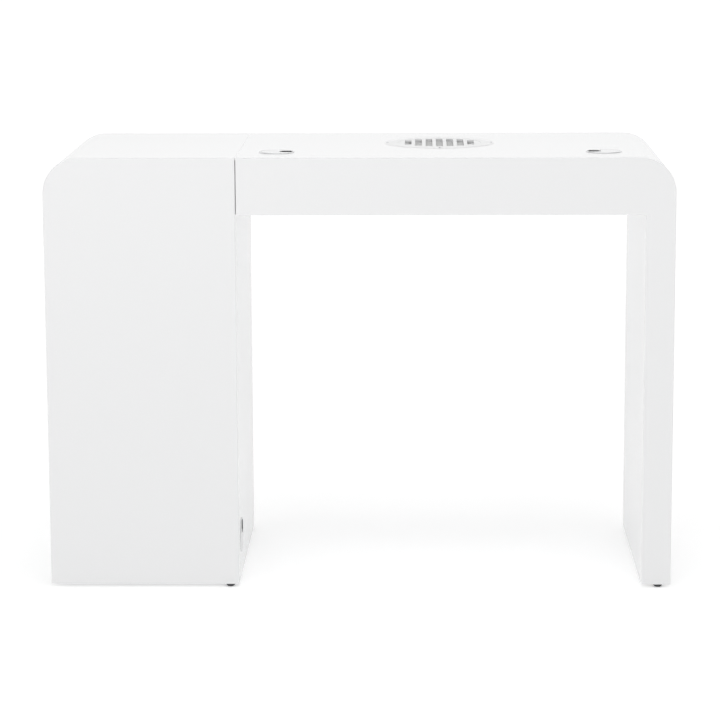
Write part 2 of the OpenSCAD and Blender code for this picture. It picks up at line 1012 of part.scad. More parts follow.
module runner_cabinet_members() {
    x = cab_in_x[0];
    color("silver")
        for (front_z = [upper_z, lower_z])
            both_sides()
                channel([x, x + 8.6], [x, x + runner_steel], runner_h / 2, runner_mid(front_z));
}

// The middle member, with the ball cages that it carries above, below and inside its lips
module runner_middle(front_z) {
    x = cab_in_x[0] + 3;
    half_h = runner_h / 2 - runner_step;
    cage_h = runner_step - runner_steel - 0.3;
    mid_z = runner_mid(front_z);
    color("gainsboro")
        both_sides() {
            channel([x, x + 7.2], [x, x + runner_steel], half_h, mid_z);
            for (side = [-1, 1]) {
                block([x + 2, x + 4.6], [box_y[0] + 10, box_y[0] + 10 + cage_l],
                    span(mid_z + side * (half_h + cage_h / 2), cage_h));
                block([x + 3.4, x + 6], [box_y[1] - 10 - cage_l, box_y[1] - 10],
                    span(mid_z + side * (half_h - runner_steel - cage_h / 2), cage_h));
            }
        }
}

module runner_inner(front_z) {
    x = box_x[0];
    color("silver")
        both_sides()
            channel([x - 7.6, x], [x - runner_steel, x], runner_h / 2 - 2 * runner_step, runner_mid(front_z));
}

// ---- Door ----

module door_panel() {
    color("white")
        block(front_x, front_y, door_z);
}

module door_handle() {
    translate([front_x[1] - door_handle_inset, y_rear, door_z[1] - door_handle_drop])
        rotate([0, 90, 0])
            bar_handle();
}

// The knuckles numbered from first in steps of two, joined to a flat leaf
module hinge_leaf(floor, first, leaf_x) {
    knuckle_h = hinge_h / knuckle_count;
    difference() {
        union() {
            block(leaf_x, [front_y[0], y_rear], [floor, floor + hinge_h]);
            for (k = [first : 2 : knuckle_count - 1]) {
                z = span(floor + (k + 0.5) * knuckle_h, knuckle_h - knuckle_gap);
                block(leaf_x, [y_rear - 1, hinge_y], z);
                rod_z(hinge_x, hinge_y, z, knuckle_r);
            }
        }
        rod_z(hinge_x, hinge_y, [floor - 1, floor + hinge_h + 1], pin_r + pin_play);
    }
}

module cabinet_hinge_leaves() {
    color("silver")
        for (floor = hinge_floors)
            hinge_leaf(floor, 0, [cab_in_x[0], cab_in_x[0] + leaf_t]);
}

module door_hinge_leaves() {
    color("silver")
        for (floor = hinge_floors)
            hinge_leaf(floor, 1, [front_x[0] - leaf_t, front_x[0]]);
}

module hinge_pins() {
    color("gray")
        for (floor = hinge_floors) {
            rod_z(hinge_x, hinge_y, [floor, floor + hinge_h], pin_r);
            for (z = [[floor - pin_tip, floor], [floor + hinge_h, floor + hinge_h + pin_tip]])
                rod_z(hinge_x, hinge_y, z, knuckle_r - 0.5);
        }
}

module magnetic_catch() {
    color("gray")
        block([front_x[1] - 20 - catch_size[0], front_x[1] - 20],
            [front_y[0] - catch_gap - catch_size[1], front_y[0] - catch_gap],
            [divider_z[0] - catch_size[2], divider_z[0]]);
}

cabinet_waterfall_panel();
cabinet_front_panel();
cabinet_inner_side();
cabinet_bottom_panel();
cabinet_divider();
cabinet_rear_fascia();
cabinet_shelf();
shelf_pins();
cabinet_glides();
desk_waterfall_panel();
desk_front_panel();
desk_rear_panel();
beam_bottom_panel();
beam_end_panel();
beam_cross_rails();
leg_inner_panel();
leg_core_blocks();
leg_glides();
joining_bolts();
joining_washers();
joining_nuts();
extractor_ring();
ring_screws();
extractor_grille();
extractor_filter();
extractor_housing();
fan_frame();
fan_stator();
fan_impeller();
fan_guard();
fan_screws();
exhaust_louvre();
wood_screws();
switch_housing();
switch_rocker();
left_grommet_sleeve();
left_grommet_cap();
right_grommet_sleeve();
right_grommet_cap();
side_grommet_sleeve();
side_grommet_cap();
runner_cabinet_members();
drawer_front(upper_z);  // upper_drawer_front
drawer_boards(upper_z);  // upper_drawer_boards
drawer_bottom(upper_z);  // upper_drawer_bottom
drawer_handle(upper_z);  // upper_drawer_handle
runner_middle(upper_z);  // upper_runner_middle
runner_inner(upper_z);  // upper_runner_inner
drawer_front(lower_z);  // lower_drawer_front
drawer_boards(lower_z);  // lower_drawer_boards
drawer_bottom(lower_z);  // lower_drawer_bottom
drawer_handle(lower_z);  // lower_drawer_handle
runner_middle(lower_z);  // lower_runner_middle
runner_inner(lower_z);  // lower_runner_inner
door_panel();
door_handle();
door_hinge_leaves();
cabinet_hinge_leaves();
hinge_pins();
magnetic_catch();
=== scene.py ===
"""Looks of the manicure table: lacquered panels, dust extractor, grommets, drawers and door.

Everything is in metres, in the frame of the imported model: X runs from the cabinet to the leg, Y from the
customer's side to the technician's side, Z up from the floor. Small shapes are given in millimetres and
scaled by MM when they are made.
"""

import json
import math

import bmesh
import bpy
from mathutils import Euler, Matrix, Vector, noise


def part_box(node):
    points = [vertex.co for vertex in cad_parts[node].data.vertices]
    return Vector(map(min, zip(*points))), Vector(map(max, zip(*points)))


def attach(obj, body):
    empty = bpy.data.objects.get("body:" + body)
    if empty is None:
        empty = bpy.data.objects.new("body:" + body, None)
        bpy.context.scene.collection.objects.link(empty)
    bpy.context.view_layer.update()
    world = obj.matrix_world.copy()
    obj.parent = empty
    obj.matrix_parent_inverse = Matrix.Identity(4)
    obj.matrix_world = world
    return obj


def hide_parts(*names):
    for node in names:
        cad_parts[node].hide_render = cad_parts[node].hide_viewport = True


MM = 0.001
WELD = 0.002 * MM
SMOOTH_ANGLE = math.radians(35)
QUARTER_TURN = math.pi / 2

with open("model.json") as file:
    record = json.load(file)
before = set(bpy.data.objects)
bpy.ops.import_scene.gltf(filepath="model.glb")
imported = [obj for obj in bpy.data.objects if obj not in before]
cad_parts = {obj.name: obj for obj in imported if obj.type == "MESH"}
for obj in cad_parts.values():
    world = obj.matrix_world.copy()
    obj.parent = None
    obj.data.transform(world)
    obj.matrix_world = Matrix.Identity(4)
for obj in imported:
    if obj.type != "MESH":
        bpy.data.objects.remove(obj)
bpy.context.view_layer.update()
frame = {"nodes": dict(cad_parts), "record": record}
body_of = {
    node: body
    for body, nodes in frame["record"]["behaviour"]["bodies"].items()
    for node in nodes
}
slot_of = {part["node"]: part["material_slot"] for part in frame["record"]["subparts"]}


# ---- Camera, light and floor ----

def add_camera():
    """The customer's side from a little above, as in a product picture."""
    data = bpy.data.cameras.new("camera")
    data.sensor_width = 36
    data.lens = 139.1
    data.clip_end = 100
    camera = bpy.data.objects.new("camera", data)
    place = Matrix.Translation((0.104, -5.034, 1.273))
    pitch_down, turn_left, lean_right = (math.radians(a) for a in (10.2, 1.23, 0.23))
    aim = Euler((math.pi / 2 - pitch_down, 0, turn_left)).to_matrix().to_4x4()
    camera.matrix_world = place @ aim @ Matrix.Rotation(-lean_right, 4, "Z")
    bpy.context.scene.collection.objects.link(camera)
    bpy.context.scene.camera = camera


def add_world(behind_camera, backdrop):
    """White surroundings that brighten from beside the table towards the backdrop behind it."""
    fade_start, fade_end = 0.3, 0.95
    world = bpy.data.worlds.new("studio")
    world.use_nodes = True
    tree = world.node_tree
    background = tree.nodes["Background"]
    background.inputs["Color"].default_value = (1, 1, 1, 1)
    direction = tree.nodes.new("ShaderNodeTexCoord")
    parts = tree.nodes.new("ShaderNodeSeparateXYZ")
    strength = tree.nodes.new("ShaderNodeMapRange")
    strength.inputs["From Min"].default_value = fade_start
    strength.inputs["From Max"].default_value = fade_end
    strength.inputs["To Min"].default_value = behind_camera
    strength.inputs["To Max"].default_value = backdrop
    tree.links.new(direction.outputs["Generated"], parts.inputs["Vector"])
    tree.links.new(parts.outputs["Y"], strength.inputs["Value"])
    tree.links.new(strength.outputs["Result"], background.inputs["Strength"])
    bpy.context.scene.world = world


def add_softbox(name, place, target, size, watts):
    data = bpy.data.lights.new(name, "AREA")
    data.shape = "RECTANGLE"
    data.size, data.size_y = size
    data.energy = watts
    light = bpy.data.objects.new(name, data)
    light.location = place
    light.rotation_euler = (Vector(target) - Vector(place)).to_track_quat("-Z", "Y").to_euler()
    bpy.context.scene.collection.objects.link(light)


def add_floor(material):
    bm = bmesh.new()
    bmesh.ops.create_grid(bm, x_segments=8, y_segments=8, size=30)
    mesh = bpy.data.meshes.new("studio_floor")
    bm.to_mesh(mesh)
    bm.free()
    mesh.materials.append(material)
    floor = bpy.data.objects.new("studio_floor", mesh)
    bpy.context.scene.collection.objects.link(floor)


# ---- Materials ----

class Surface:
    """A procedural material being made, with short ways to add and join its nodes."""

    def __init__(self, name, roughness, metallic=0.0):
        self.material = bpy.data.materials.new(name)
        self.material.use_nodes = True
        self.tree = self.material.node_tree
        self.shader = self.tree.nodes["Principled BSDF"]
        self.shader.inputs["Roughness"].default_value = roughness
        self.shader.inputs["Metallic"].default_value = metallic
        self.place = self.tree.nodes.new("ShaderNodeTexCoord").outputs["Object"]
        self.normal = None

    def join(self, output, socket):
        self.tree.links.new(output, socket)

    def stretched(self, stretch):
        """Object coordinates, scaled per axis so that a texture can run along the grain."""
        node = self.tree.nodes.new("ShaderNodeMapping")
        node.inputs["Scale"].default_value = stretch
        self.join(self.place, node.inputs["Vector"])
        return node.outputs["Vector"]

    def noise(self, size, detail=2.0, stretch=None):
        """Soft noise whose lumps are about size metres wide."""
        node = self.tree.nodes.new("ShaderNodeTexNoise")
        node.inputs["Scale"].default_value = 1 / size
        node.inputs["Detail"].default_value = detail
        self.join(self.stretched(stretch) if stretch else self.place, node.inputs["Vector"])
        return node.outputs["Fac"]

    def cells(self, size):
        """The distance to the middle of the nearest cell, with cells about size metres wide."""
        node = self.tree.nodes.new("ShaderNodeTexVoronoi")
        node.inputs["Scale"].default_value = 1 / size
        self.join(self.place, node.inputs["Vector"])
        return node.outputs["Distance"]

    def colour(self, value, dark, light):
        """Base colour that runs from dark to light over the middle of value's range."""
        ramp = self.tree.nodes.new("ShaderNodeValToRGB")
        ramp.color_ramp.elements[0].color = (*dark, 1)
        ramp.color_ramp.elements[1].color = (*light, 1)
        ramp.color_ramp.elements[0].position = 0.3
        ramp.color_ramp.elements[1].position = 0.7
        self.join(value, ramp.inputs["Fac"])
        self.join(ramp.outputs["Color"], self.shader.inputs["Base Color"])

    def gloss(self, value, low, high):
        """Roughness that runs from low to high with value."""
        node = self.tree.nodes.new("ShaderNodeMapRange")
        node.inputs["To Min"].default_value = low
        node.inputs["To Max"].default_value = high
        self.join(value, node.inputs["Value"])
        self.join(node.outputs["Result"], self.shader.inputs["Roughness"])

    def bump(self, value, depth):
        """Relief of depth metres, on top of any relief added before."""
        node = self.tree.nodes.new("ShaderNodeBump")
        node.inputs["Distance"].default_value = depth
        self.join(value, node.inputs["Height"])
        if self.normal:
            self.join(self.normal, node.inputs["Normal"])
        self.normal = node.outputs["Normal"]
        self.join(self.normal, self.shader.inputs["Normal"])


def lacquer():
    """White satin lacquer: a smooth, softly shining surface with faint orange peel."""
    s = Surface("white_lacquer", 0.25)
    s.shader.inputs["Specular IOR Level"].default_value = 0.25
    s.colour(s.noise(0.0015, 1), (0.8745, 0.8765, 0.880), (0.8775, 0.8795, 0.883))
    s.gloss(s.noise(0.0015, 1), 0.26, 0.28)
    s.bump(s.noise(0.0025, 1), 0.0000015)
    return s.material


def melamine():
    """White melamine facing with a fine pearl texture."""
    s = Surface("white_melamine", 0.42)
    s.colour(s.noise(0.05, 4), (0.80, 0.80, 0.785), (0.84, 0.84, 0.828))
    s.gloss(s.noise(0.02, 2), 0.36, 0.5)
    s.bump(s.noise(0.0009, 2), 0.00002)
    return s.material


def raw_board():
    """Raw fibreboard: pressed fibres and scattered darker specks."""
    s = Surface("raw_board", 0.8)
    s.colour(s.noise(0.0035, 6, stretch=(0.4, 1, 1)), (0.46, 0.33, 0.2), (0.66, 0.5, 0.33))
    s.gloss(s.noise(0.01, 2), 0.7, 0.95)
    s.bump(s.noise(0.0012, 5), 0.00015)
    return s.material


def chrome():
    """Polished chrome plating with faint wipe marks."""
    s = Surface("polished_chrome", 0.08, metallic=1.0)
    s.colour(s.noise(0.03, 3), (0.72, 0.73, 0.75), (0.82, 0.83, 0.85))
    s.gloss(s.noise(0.004, 6), 0.05, 0.14)
    s.bump(s.noise(0.006, 1), 0.000008)
    return s.material


def zinc_steel():
    """Bright zinc plating with a crystalline bloom."""
    s = Surface("zinc_steel", 0.3, metallic=1.0)
    s.colour(s.cells(0.0028), (0.57, 0.58, 0.60), (0.66, 0.67, 0.69))
    s.gloss(s.noise(0.003, 4), 0.22, 0.42)
    s.bump(s.noise(0.0006, 2), 0.000012)
    return s.material


def runner_steel():
    """Rolled sheet steel: fine streaks along the runner."""
    s = Surface("runner_steel", 0.26, metallic=1.0)
    streaks = s.noise(0.0012, 3, stretch=(1, 0.03, 1))
    s.colour(streaks, (0.58, 0.59, 0.61), (0.72, 0.73, 0.75))
    s.gloss(streaks, 0.2, 0.36)
    s.bump(streaks, 0.000015)
    return s.material


def vent_plastic():
    """Satin white moulded plastic with a fine spark-eroded texture."""
    s = Surface("vent_plastic", 0.36)
    s.colour(s.noise(0.03, 3), (0.81, 0.812, 0.815), (0.84, 0.842, 0.843))
    s.gloss(s.noise(0.005, 3), 0.3, 0.42)
    s.bump(s.noise(0.0005, 2), 0.00001)
    return s.material


def housing_plastic():
    """Grey moulded plastic with a pebbled grain."""
    s = Surface("housing_plastic", 0.5)
    s.colour(s.noise(0.02, 3), (0.56, 0.57, 0.58), (0.64, 0.65, 0.66))
    s.gloss(s.noise(0.004, 3), 0.42, 0.58)
    s.bump(s.cells(0.0011), 0.00004)
    return s.material


def grommet_plastic():
    """Silver-lacquered plastic with very fine metal flakes."""
    s = Surface("grommet_plastic", 0.22, metallic=0.25)
    s.colour(s.cells(0.0006), (0.7, 0.705, 0.71), (0.77, 0.775, 0.78))
    s.gloss(s.noise(0.004, 3), 0.18, 0.3)
    s.bump(s.noise(0.0009, 2), 0.000008)
    return s.material


def fleece_with_painted_shade():
    """Non-woven fleece: crossed fibres and soft hollows. Its grey is darker than the fleece alone, as
    painted shade for the shadow inside the grille's slots.
    """
    s = Surface("fleece_with_painted_shade", 0.95)
    s.shader.inputs["Sheen Weight"].default_value = 0.3
    fibres = s.noise(0.0016, 6, stretch=(1, 0.22, 1))
    # the fleece's own fibre tone, darkened as painted shade for the shadow in the grille's slots
    s.colour(fibres, (0.48, 0.48, 0.475), (0.64, 0.64, 0.635))
    s.bump(s.noise(0.0014, 6, stretch=(0.2, 1, 1)), 0.0003)
    s.bump(fibres, 0.0003)
    return s.material


def black_plastic():
    """Black moulded plastic with a pebbled grain."""
    s = Surface("black_plastic", 0.45)
    s.colour(s.noise(0.01, 3), (0.018, 0.018, 0.019), (0.034, 0.034, 0.036))
    s.gloss(s.noise(0.003, 3), 0.35, 0.55)
    s.bump(s.cells(0.0012), 0.00004)
    return s.material


def copper_windings():
    """Enamelled copper wire: fine turns that run round the coils."""
    s = Surface("copper_windings", 0.25, metallic=1.0)
    turns = s.noise(0.0005, 0, stretch=(0.05, 0.05, 1))
    s.colour(turns, (0.42, 0.17, 0.07), (0.75, 0.36, 0.18))
    s.bump(turns, 0.0002)
    return s.material


def glide_nylon():
    """Dark nylon, scuffed a little."""
    s = Surface("glide_nylon", 0.5)
    s.colour(s.noise(0.004, 4), (0.03, 0.03, 0.032), (0.06, 0.06, 0.064))
    s.gloss(s.noise(0.002, 3), 0.4, 0.65)
    s.bump(s.noise(0.0008, 3), 0.00003)
    return s.material


def white_sealant():
    """Silicone smoothed with a finger, so that it has shallow ripples."""
    s = Surface("white_sealant", 0.4)
    s.colour(s.noise(0.02, 3), (0.86, 0.86, 0.86), (0.875, 0.875, 0.875))
    s.gloss(s.noise(0.01, 2), 0.35, 0.5)
    s.bump(s.noise(0.006, 2, stretch=(1, 0.3, 1)), 0.00004)
    return s.material


def studio_paper():
    """White paper that glows a little, more so away from the table, like a lit product stage."""
    near, far = 0.8, 4
    near_glow, far_glow = 0.27, 0.46
    s = Surface("studio_paper", 0.9)
    s.shader.inputs["Specular IOR Level"].default_value = 0.1
    s.shader.inputs["Emission Color"].default_value = (1, 1, 1, 1)
    distance = s.tree.nodes.new("ShaderNodeVectorMath")
    distance.operation = "LENGTH"
    glow = s.tree.nodes.new("ShaderNodeMapRange")
    glow.inputs["From Min"].default_value = near
    glow.inputs["From Max"].default_value = far
    glow.inputs["To Min"].default_value = near_glow
    glow.inputs["To Max"].default_value = far_glow
    s.join(s.place, distance.inputs[0])
    s.join(distance.outputs["Value"], glow.inputs["Value"])
    s.join(glow.outputs["Result"], s.shader.inputs["Emission Strength"])
    s.colour(s.noise(0.8, 2), (0.93, 0.93, 0.93), (0.945, 0.945, 0.945))
    return s.material


# ---- Mesh tools ----

def ease(bm, radius, along=None, flush=()):
    """Rounds the sharp outer edges of a mesh.

    along keeps to the edges parallel to that axis. flush lists planes as (axis, place): an edge lying in one
    meets a neighbouring panel there and stays sharp.
    """
    parallel = 0.999
    same_place = 0.1 * MM

    def chosen(edge):
        if len(edge.link_faces) != 2 or edge.calc_face_angle_signed() < SMOOTH_ANGLE:
            return False
        ends = [v.co for v in edge.verts]
        if along is not None:
            line = (ends[1] - ends[0]).normalized()
            if abs(line[along]) < parallel:
                return False
        return not any(
            all(abs(end[axis] - place) < same_place for end in ends) for axis, place in flush
        )

    edges = [edge for edge in bm.edges if chosen(edge)]
    bmesh.ops.bevel(bm, geom=edges, offset=radius, offset_type="OFFSET", segments=3,
                    profile=0.5, affect="EDGES", clamp_overlap=True)


def node_mesh(node):
    """The shape of a CAD node as an editable mesh of whole flat faces."""
    bm = bmesh.new()
    bm.from_mesh(frame["nodes"][node].data)
    bmesh.ops.remove_doubles(bm, verts=bm.verts, dist=WELD)
    bmesh.ops.dissolve_limit(bm, angle_limit=math.radians(0.5), verts=bm.verts, edges=bm.edges)
    return bm


def finished(bm, name, material, body, replaced=()):
    """Turns a mesh into a shown piece that rides on a body."""
    bmesh.ops.recalc_face_normals(bm, faces=bm.faces)
    for edge in bm.edges:
        edge.smooth = len(edge.link_faces) == 2 and edge.calc_face_angle() < SMOOTH_ANGLE
    mesh = bpy.data.meshes.new(name)
    bm.to_mesh(mesh)
    bm.free()
    mesh.materials.append(material)
    for face in mesh.polygons:
        face.use_smooth = True
    piece = bpy.data.objects.new(name, mesh)
    bpy.context.scene.collection.objects.link(piece)
    piece.modifiers.new("face_normals", "WEIGHTED_NORMAL").keep_sharp = True
    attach(piece, body)
    if replaced:
        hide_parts(*replaced)


def eased_node(node, material, radius, **edges):
    """Stands for a CAD node with the same shape and rounded edges."""
    bm = node_mesh(node)
    ease(bm, radius * MM, **edges)
    finished(bm, node + "_eased", material, body_of[node], [node])


def arc(x, z, radius, start, end, steps=24):
    """Flat points on an arc, with its angles in degrees."""
    angles = [math.radians(start + (end - start) * i / steps) for i in range(steps + 1)]
    return [(x + radius * math.cos(a), z + radius * math.sin(a)) for a in angles]


def sweep(bm, outline, way):
    """A solid made by moving a flat outline straight along a vector."""
    face = bm.faces.new([bm.verts.new(point) for point in outline])
    walls = bmesh.ops.extrude_face_region(bm, geom=[face])
    moved = [v for v in walls["geom"] if isinstance(v, bmesh.types.BMVert)]
    bmesh.ops.translate(bm, verts=moved, vec=way)


def prism(outline, y_start, y_end):
    """A solid with the given outline in X and Z between two planes across the table."""
    bm = bmesh.new()
    sweep(bm, [(x, y_start, z) for x, z in outline], (0, y_end - y_start, 0))
    bmesh.ops.recalc_face_normals(bm, faces=bm.faces)
    return bm


def raised(bm, outline, z_start, z_end, place):
    """A solid whose outline and heights are in millimetres, put in place."""
    foot = [place @ Vector((x * MM, y * MM, z_start * MM)) for x, y in outline]
    sweep(bm, foot, place.to_3x3() @ Vector((0, 0, (z_end - z_start) * MM)))


def drum(bm, x, y, radius, z_start, z_end):
    """A plain round solid along Z, to cut a hole with."""
    bmesh.ops.create_cone(bm, cap_ends=True, segments=96, radius1=radius, radius2=radius,
                          depth=z_end - z_start, matrix=at((x, y, (z_start + z_end) / 2)))


def lathe(bm, profile, place, steps=64):
    """Turns (radius, height) points in millimetres round the Z axis, then puts the shape in place."""
    before = set(bm.verts)
    points = [bm.verts.new((r * MM, 0, z * MM)) for r, z in profile]
    lines = [bm.edges.new(pair) for pair in zip(points, points[1:])]
    bmesh.ops.spin(bm, geom=points + lines, cent=(0, 0, 0), axis=(0, 0, 1), angle=2 * math.pi,
                   steps=steps, use_merge=True)
    bmesh.ops.remove_doubles(bm, verts=[v for v in bm.verts if v not in before], dist=WELD)
    bmesh.ops.transform(bm, matrix=place, verts=[v for v in bm.verts if v not in before])


def without(bm, cutter):
    """The first mesh with the second cut out of it."""
    shapes = []
    for source in (bm, cutter):
        mesh = bpy.data.meshes.new("shape")
        source.to_mesh(mesh)
        source.free()
        shapes.append(bpy.data.objects.new("shape", mesh))
        bpy.context.scene.collection.objects.link(shapes[-1])
    kept, removed = shapes
    cut = kept.modifiers.new("cut", "BOOLEAN")
    cut.object = removed
    cut.solver = "EXACT"
    view = bpy.context.evaluated_depsgraph_get()
    result = bmesh.new()
    result.from_mesh(kept.evaluated_get(view).to_mesh())
    for shape in shapes:
        mesh = shape.data
        bpy.data.objects.remove(shape)
        bpy.data.meshes.remove(mesh)
    return result


def at(point):
    return Matrix.Translation(point)


# ---- The set ----

add_camera()
add_world(0.54, 1.14)
add_softbox("top_softbox", (0.1, -0.7, 3.2), (0.1, 0.1, 0.5), (3.2, 2.4), 30)
add_softbox("front_softbox", (-1.2, -4.6, 0.8), (0, -0.2, 0.3), (2.2, 1.8), 20)
bpy.context.scene.view_settings.view_transform = "Standard"
add_floor(studio_paper())

MATERIALS = {
    "white_lacquer": lacquer(),
    "drawer_board": melamine(),
    "raw_board": raw_board(),
    "chrome": chrome(),
    "zinc_steel": zinc_steel(),
    "runner_steel": runner_steel(),
    "vent_plastic": vent_plastic(),
    "housing_plastic": housing_plastic(),
    "grommet_plastic": grommet_plastic(),
    "filter_media": fleece_with_painted_shade(),
    "black_plastic": black_plastic(),
    "copper_windings": copper_windings(),
    "glide_plastic": glide_nylon(),
}

for node, piece in frame["nodes"].items():
    piece.data.materials.clear()
    piece.data.materials.append(MATERIALS[slot_of[node]])


# ---- Lacquered panels ----

front_low, front_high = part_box("cabinet_front_panel")
arch_low, arch_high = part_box("desk_front_panel")
rear_low, rear_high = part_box("desk_rear_panel")
skin_low, skin_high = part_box("cabinet_waterfall_panel")
cover_low, cover_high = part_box("desk_waterfall_panel")
ring_low, ring_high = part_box("extractor_ring")
vent = (ring_low + ring_high) / 2

PANEL_T = front_high.y - front_low.y
CORNER_R = 62 * MM
EDGE_R = 1.6
TOP_Z = skin_high.z
BASE_Z = skin_low.z
BEAM_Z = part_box("beam_bottom_panel")[0].z
LEG_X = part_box("leg_inner_panel")[0].x
FRONT_JOINT = (1, front_high.y)
REAR_JOINT = (1, rear_low.y)
TOP_JOINT = (2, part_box("cabinet_inner_side")[1].z)


def cabinet_corner(inset):
    return arc(skin_low.x + CORNER_R, TOP_Z - CORNER_R, CORNER_R - inset, 90, 180)


def desk_corner(inset):
    return arc(cover_high.x - CORNER_R, TOP_Z - CORNER_R, CORNER_R - inset, 90, 0)


def lacquered(node, bm, **edges):
    """Eases a panel's edges and puts it in the place of its CAD node."""
    ease(bm, EDGE_R * MM, **edges)
    finished(bm, node + "_lacquered", MATERIALS["white_lacquer"], body_of[node], [node])


def cabinet_front():
    outline = cabinet_corner(0) + [(skin_low.x, BASE_Z), (front_high.x, BASE_Z), (front_high.x, TOP_Z)]
    lacquered("cabinet_front_panel", prism(outline, front_low.y, front_high.y), flush=[FRONT_JOINT])


def cabinet_skin():
    """The cabinet's top and left side, bent round the corner as one panel."""
    outer = [(skin_high.x, TOP_Z)] + cabinet_corner(0) + [(skin_low.x, BASE_Z)]
    inner = [(skin_high.x, TOP_Z - PANEL_T)] + cabinet_corner(PANEL_T) + [(skin_low.x + PANEL_T, BASE_Z)]
    lacquered("cabinet_waterfall_panel", prism(outer + inner[::-1], skin_low.y, skin_high.y),
              flush=[FRONT_JOINT, TOP_JOINT])


def desk_skin():
    """The desk's top and right side as one panel, with round holes for the vent and two grommets."""
    vent_hole_r, grommet_hole_r = 78 * MM, 30 * MM
    outer = [(cover_low.x, TOP_Z)] + desk_corner(0) + [(cover_high.x, BASE_Z)]
    inner = [(cover_low.x, TOP_Z - PANEL_T)] + desk_corner(PANEL_T) + [(cover_high.x - PANEL_T, BASE_Z)]
    holes = bmesh.new()
    below, above = TOP_Z - 2 * PANEL_T, TOP_Z + PANEL_T
    drum(holes, vent.x, vent.y, vent_hole_r, below, above)
    for side in ("left", "right"):
        low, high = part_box(side + "_grommet_sleeve")
        drum(holes, (low.x + high.x) / 2, (low.y + high.y) / 2, grommet_hole_r, below, above)
    skin = without(prism(outer + inner[::-1], cover_low.y, cover_high.y), holes)
    lacquered("desk_waterfall_panel", skin, along=1)


def desk_arch(low, high):
    """The desk's front or rear panel before any opening: a beam and a leg in one piece."""
    outline = [(low.x, BEAM_Z), (low.x, TOP_Z)] + desk_corner(0)
    outline += [(high.x, BASE_Z), (LEG_X, BASE_Z), (LEG_X, BEAM_Z)]
    return prism(outline, low.y, high.y)


def desk_front():
    lacquered("desk_front_panel", desk_arch(arch_low, arch_high), flush=[FRONT_JOINT])


def desk_rear():
    """The rear panel with the rectangular opening of the switch."""
    opening_w, opening_h = 13.8 * MM, 20.4 * MM
    low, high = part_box("switch_housing")
    middle = (low + high) / 2
    block = Matrix.Diagonal((opening_w, 4 * PANEL_T, opening_h, 1))
    opening = bmesh.new()
    bmesh.ops.create_cube(opening, size=1, matrix=at((middle.x, rear_high.y, middle.z)) @ block)
    lacquered("desk_rear_panel", without(desk_arch(rear_low, rear_high), opening), flush=[REAR_JOINT])


def joint_sealant():
    """A bead that closes the joint between the two parts on the table top, up to their eased edges."""
    radius, sunk, depth, end = EDGE_R * MM, 0.2 * MM, 4 * MM, 3 * MM
    slope = math.degrees(math.asin(1 - sunk / radius))
    outline = arc(skin_high.x - radius, TOP_Z - radius, radius, slope, 0, 8)
    outline += [(skin_high.x, TOP_Z - depth), (cover_low.x, TOP_Z - depth)]
    outline += arc(cover_low.x + radius, TOP_Z - radius, radius, 180, 180 - slope, 8)
    bead = prism(outline, front_low.y + end, rear_high.y - end)
    finished(bead, "joint_sealant", white_sealant(), body_of["cabinet_waterfall_panel"])


cabinet_front()
cabinet_skin()
desk_skin()
desk_front()
desk_rear()
joint_sealant()

EASED_PANELS = {
    "cabinet_inner_side": {"flush": [FRONT_JOINT, TOP_JOINT]},
    "cabinet_bottom_panel": {"along": 0},
    "cabinet_divider": {"along": 0},
    "cabinet_rear_fascia": {"flush": [TOP_JOINT], "along": 0},
    "upper_drawer_front": {},
    "lower_drawer_front": {},
    "door_panel": {},
}

for node, edges in EASED_PANELS.items():
    eased_node(node, MATERIALS["white_lacquer"], EDGE_R, **edges)


# ---- Smaller parts: the CAD shapes with edges rounded to these radii in millimetres ----

EASED_PARTS = {
    "cabinet_shelf": 0.8,
    "upper_drawer_boards": 0.6,
    "lower_drawer_boards": 0.6,
    "left_grommet_sleeve": 0.3,
    "right_grommet_sleeve": 0.3,
    "side_grommet_sleeve": 0.3,
    "left_grommet_cap": 0.3,
    "right_grommet_cap": 0.3,
    "side_grommet_cap": 0.3,
    "extractor_grille": 0.4,
    "exhaust_louvre": 0.3,
    "switch_housing": 0.3,
    "cabinet_glides": 0.5,
    "leg_glides": 0.5,
    "magnetic_catch": 0.8,
    "upper_drawer_bottom": 0.5,
    "lower_drawer_bottom": 0.5,
    "runner_cabinet_members": 0.25,
    "upper_runner_middle": 0.25,
    "lower_runner_middle": 0.25,
    "upper_runner_inner": 0.25,
    "lower_runner_inner": 0.25,
    "cabinet_hinge_leaves": 0.25,
    "door_hinge_leaves": 0.25,
    "extractor_housing": 0.3,
    "fan_frame": 0.4,
    "switch_rocker": 0.5,
}

for node, radius in EASED_PARTS.items():
    eased_node(node, MATERIALS[slot_of[node]], radius)


# ---- Black linings in the slots of the grommet caps, as painted shade ----

